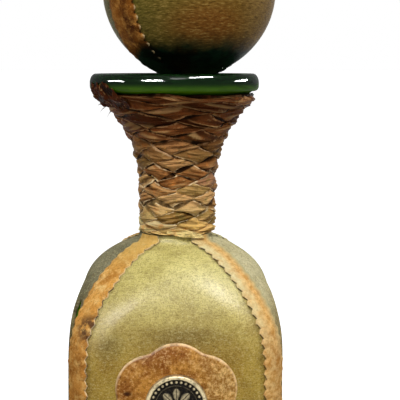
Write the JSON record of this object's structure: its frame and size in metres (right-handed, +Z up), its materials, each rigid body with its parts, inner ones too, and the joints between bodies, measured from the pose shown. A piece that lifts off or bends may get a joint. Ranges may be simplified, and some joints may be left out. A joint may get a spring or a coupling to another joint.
{
  "type": "leather-wrapped decanter",
  "caption": "Square glass decanter with a flared mouth, covered in hide panels with pinked corner strips, a plaited neck, a badge and a leather ball stopper on a cork.",
  "frame": {"origin": "middle of the underside of the base pad, on the bottle's axis at table level", "axes": "+Z up along the bottle's axis, the badge faces -Y, +X to the right as seen from the front"},
  "size_m": [0.1002, 0.1052, 0.3064],
  "materials": {
    "green_glass": "dark bottle green, clear and glossy",
    "olive_hide": "fine-grained olive hide, worn satin",
    "tan_hide": "mottled tan split leather, matt",
    "brown_thong": "creased thong, dark with handling, soft gloss",
    "badge_hide": "tan skirting leather, satin",
    "old_pewter": "antiqued pewter, bright rim and dark field",
    "ball_hide": "olive-brown hide, darkened below by handling",
    "turned_wood": "plain turned hardwood",
    "cork_bark": "natural cork"
  },
  "bodies": {
    "bottle": {"glass_bottle": "green_glass", "base_pad": "olive_hide", "panel_front": "olive_hide", "panel_right": "olive_hide", "panel_back": "olive_hide", "panel_left": "olive_hide", "corner_strip_front_right": "tan_hide", "corner_strip_back_right": "tan_hide", "corner_strip_back_left": "tan_hide", "corner_strip_front_left": "tan_hide", "neck_strand_right_1": "brown_thong", "neck_strand_right_2": "brown_thong", "neck_strand_right_3": "brown_thong", "neck_strand_right_4": "brown_thong", "neck_strand_right_5": "brown_thong", "neck_strand_right_6": "brown_thong", "neck_strand_left_1": "brown_thong", "neck_strand_left_2": "brown_thong", "neck_strand_left_3": "brown_thong", "neck_strand_left_4": "brown_thong", "neck_strand_left_5": "brown_thong", "neck_strand_left_6": "brown_thong", "badge_patch": "badge_hide", "medallion": "old_pewter"},
    "stopper": {"ball_core": "turned_wood", "ball_cover_right": "ball_hide", "ball_cover_left": "ball_hide", "ball_band": "tan_hide", "stopper_stem": "turned_wood", "stopper_cork": "cork_bark"}
  },
  "joints": [
    {"name": "stopper_lift", "type": "slide", "parent": "bottle", "child": "stopper", "axis": [0, 0, 1], "range_m": [0, 0.085]}
  ]
}
